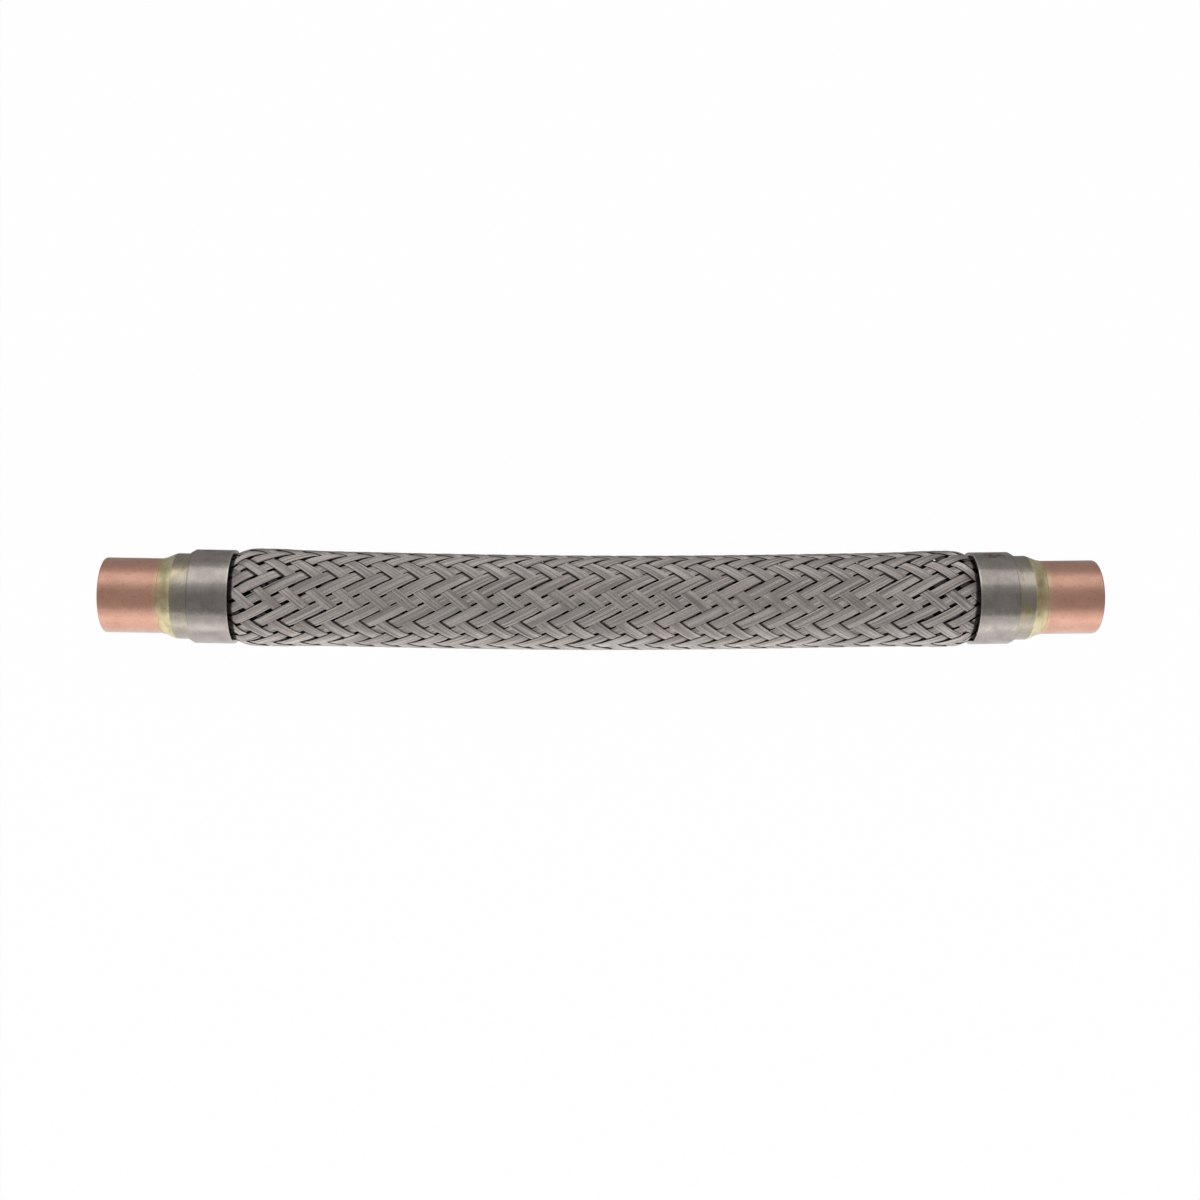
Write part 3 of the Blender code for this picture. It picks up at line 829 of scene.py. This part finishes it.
def collar_weld(name, direction, material):
    """The slope of weld from the ferrule's end face down to the neck, with a crevice at its top."""
    rng = random.Random(WELD_SEED + direction)
    start = FERRULE_END + CREVICE_GAP
    crest = start + CREVICE_WIDTH
    top = FERRULE_R - WELD_BELOW_FERRULE
    toe = FERRULE_BORE_R - WELD_BELOW_BORE
    outline = [Vector((start, toe)), Vector((start, top - CREVICE_WIDTH))]
    for step in range(WELD_STEPS + 1):
        run = step / WELD_STEPS
        drop = 0.5 * run + 0.5 * run * run * (3 - 2 * run)
        outline.append(Vector((crest + (BEAD_END - crest) * run, top + (toe - top) * drop)))
    edge = waves(rng, 6, 3, 17)

    def flow(station, angle, radius):
        out = np.clip((station - start) / (BEAD_END - start), 0, 1)
        return station + out * WELD_TOE_WAVES * edge(angle), radius

    return turned(name, outline, direction, material, shape=flow)


def ferrule(name, direction, material):
    """The collar round the braid's end, a little out of round."""
    rng = random.Random(FERRULE_SEED + direction)
    outline = fillet([
        (FERRULE_END, FERRULE_R, LIP_ROUNDING),
        (MOUTH, FERRULE_R, LIP_ROUNDING),
        (MOUTH, FERRULE_BORE_R, 0.12 * MM),
        (FERRULE_END, FERRULE_BORE_R, 0),
    ])
    dents = waves(rng, 5, 2, 6)
    more = waves(rng, 5, 3, 9)

    def dented(station, angle, radius):
        outer = np.clip((radius - FERRULE_BORE_R) / (FERRULE_R - FERRULE_BORE_R), 0, 1)
        run = (station - MOUTH) / (FERRULE_END - MOUTH)
        depth = dents(angle) * (1 - run) + more(angle) * run
        return station, radius - outer * DENTS * (1 + depth)

    return turned(name, fine(outline, FINER_STEP), direction, material, shape=dented)


def hose_weld(name, direction, material):
    top = ADAPTER_START - FIT
    outline = fillet([
        (top, HOSE_SEAT_R + HOSE_WELD_HIGH, 0.1 * MM),
        (top - HOSE_WELD_LENGTH, HOSE_SEAT_R + HOSE_WELD_LOW, 0.3 * MM),
        (top - HOSE_WELD_LENGTH, HOSE_SEAT_R, 0),
        (top, HOSE_SEAT_R, 0),
    ])
    return turned(name, fine(outline, FINEST_STEP), direction, material, segments=72)


def hose(name, material):
    """The corrugated hose, with rounded folds."""
    pitch = 2 * LAST_FOLD / FOLDS
    outside = [Vector((HOSE_END, CUFF_R))]
    for step in range(FOLDS * FOLD_STEPS + 1):
        x = LAST_FOLD - step * pitch / FOLD_STEPS
        swing = (1 - math.cos(2 * math.pi * step / FOLD_STEPS)) / 2
        outside.append(Vector((x, CUFF_R + (CREST_R - CUFF_R) * swing**FOLD_FULLNESS)))
    outside.append(Vector((-HOSE_END, CUFF_R)))
    inside = [Vector((p.x, p.y - HOSE_WALL)) for p in reversed(outside)]
    return turned(name, outside + inside, 1, material, segments=48)


def dress():
    """Makes every shown piece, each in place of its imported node."""
    copper, braze, steel = copper_look(), braze_look(), ferrule_look()
    neck, weld = neck_look("neck_steel"), neck_look("weld_steel", WELD_LEVELLED)
    wire, dark = wire_look(), hose_look()
    for number in range(CARRIERS):
        for family, word in ((1, "forward"), (-1, "backward")):
            piece = band(f"{word}_band_{number + 1:02d}", family, number, wire)
            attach(piece, BODY)
            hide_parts("braid_sleeve")
    piece = hose("hose_folds", dark)
    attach(piece, BODY)
    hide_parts("corrugated_hose")
    builders = (
        ("copper_socket", copper_socket, copper, "copper"),
        ("braze_fillet", braze_fillet, braze, "braze"),
        ("end_adapter", end_adapter, neck, "satin_steel"),
        ("collar_weld", collar_weld, weld, "satin_steel"),
        ("ferrule", ferrule, steel, "satin_steel"),
        ("hose_weld", hose_weld, dark, "hose_steel"),
    )
    for side, direction in (("left", -1), ("right", 1)):
        for node, builder, material, slot in builders:
            piece = builder(f"{side}_{node}_shown", direction, material)
            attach(piece, BODY)
            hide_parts(f"{side}_{node}")


# Stage


def ray_kinds(nodes):
    """1 for what the camera sees, and 1 for what metal and glass show."""
    path = nodes.node("ShaderNodeLightPath").outputs
    metal = nodes.math("MAXIMUM", path["Is Glossy Ray"], path["Is Transmission Ray"])
    return path["Is Camera Ray"], metal


def floor_material():
    """White to the camera. In metal the floor is bright on the near side and dim on the far side."""
    material = bpy.data.materials.new("floor")
    material.use_nodes = True
    nodes = Tree(material.node_tree)
    nodes.tree.nodes.clear()
    camera, metal = ray_kinds(nodes)
    across = nodes.part(nodes.node("ShaderNodeTexCoord").outputs["Object"], 1)
    in_metal = nodes.between(across, -FLOOR_CHANGE, FLOOR_CHANGE, NEAR_FLOOR, FAR_FLOOR)
    white = nodes.node("ShaderNodeEmission", Strength=nodes.math("MAXIMUM", camera, in_metal))
    plain = nodes.node("ShaderNodeBsdfDiffuse", Color=(0.9, 0.9, 0.9))
    metal_share = nodes.math("MULTIPLY", metal, FLOOR_IN_METAL)
    mix = nodes.node("ShaderNodeMixShader")
    nodes.feed(mix.inputs[0], nodes.math("MULTIPLY_ADD", camera, FLOOR_WHITE, metal_share))
    nodes.feed(mix.inputs[1], plain.outputs[0])
    nodes.feed(mix.inputs[2], white.outputs[0])
    nodes.node("ShaderNodeOutputMaterial", Surface=mix.outputs[0])
    return material


def world():
    """White to the camera. In metal it is bright at the near horizon, dim overhead and past the ends."""
    made = bpy.data.worlds.new("studio")
    bpy.context.scene.world = made
    made.use_nodes = True
    nodes = Tree(made.node_tree)
    nodes.tree.nodes.clear()
    camera, metal = ray_kinds(nodes)
    direction = nodes.node("ShaderNodeTexCoord").outputs["Generated"]
    along, across, up = (nodes.part(direction, index) for index in range(3))
    horizon = nodes.between(across, *HORIZON_CHANGE, NEAR_HORIZON, FAR_HORIZON)
    past_ends = nodes.between(nodes.math("ABSOLUTE", along), *ENDS_CHANGE, 1.0, SIDE_HORIZON)
    horizon = nodes.math("MULTIPLY", horizon, past_ends)
    overhead = nodes.between(across, *OVERHEAD_CHANGE, ZENITH, FAR_ZENITH)
    sky = nodes.between(up, *SKY_CHANGE, horizon, overhead)
    white = (1, 1, 1)
    seen = nodes.node("ShaderNodeBackground", Color=white, Strength=nodes.math("MAXIMUM", camera, sky))
    plain = nodes.node("ShaderNodeBackground", Color=white, Strength=AMBIENT)
    mix = nodes.node("ShaderNodeMixShader")
    nodes.feed(mix.inputs[0], nodes.math("MAXIMUM", camera, metal))
    nodes.feed(mix.inputs[1], plain.outputs[0])
    nodes.feed(mix.inputs[2], seen.outputs[0])
    nodes.node("ShaderNodeOutputWorld", Surface=mix.outputs[0])


def softbox(name, side, first, last, brightness, along=0.0):
    """A long area lamp beside the part that fills the angles first to last from the zenith."""
    middle = math.radians(first + last) / 2
    lamp = bpy.data.lights.new(name, "AREA")
    lamp.shape = "RECTANGLE"
    lamp.size = BOX_WIDTH
    lamp.size_y = 2 * BOX_DISTANCE * math.tan(math.radians(last - first) / 2)
    lamp.energy = brightness * lamp.size * lamp.size_y
    obj = bpy.data.objects.new(name, lamp)
    bpy.context.scene.collection.objects.link(obj)
    obj.location = (along, side * BOX_DISTANCE * math.sin(middle), BOX_DISTANCE * math.cos(middle))
    obj.rotation_euler = (-side * middle, 0, 0)
    return obj


def place_camera():
    camera = bpy.data.cameras.new("camera")
    camera.lens = LENS
    camera.sensor_width = SENSOR
    view = bpy.data.objects.new("camera", camera)
    bpy.context.scene.collection.objects.link(view)
    view.location = CAMERA_PLACE
    tilt = Quaternion((0, 1, 0), math.atan2(CAMERA_PLACE[0] - CAMERA_AIM_X, CAMERA_PLACE[2]))
    view.rotation_euler = (tilt @ Quaternion((0, 0, 1), CAMERA_ROLL)).to_euler()
    bpy.context.scene.camera = view


def lay_floor():
    low = cad_box[0].z
    half = FLOOR_SIZE / 2
    corners = np.array([(-half, -half, low), (half, -half, low), (half, half, low), (-half, half, low)])
    floor = make_object("floor", corners, [(0, 1, 2, 3)], floor_material())


def stage():
    place_camera()
    lay_floor()
    world()
    softbox("near_box", NEAR_SIDE, *NEAR_BOX)
    softbox("far_box", FAR_SIDE, *FAR_BOX, FAR_BOX_ALONG)
    key = softbox("floor_key", NEAR_SIDE, *FLOOR_KEY)
    key.visible_glossy = False
    bpy.context.scene.view_settings.view_transform = "Standard"


stage()
dress()
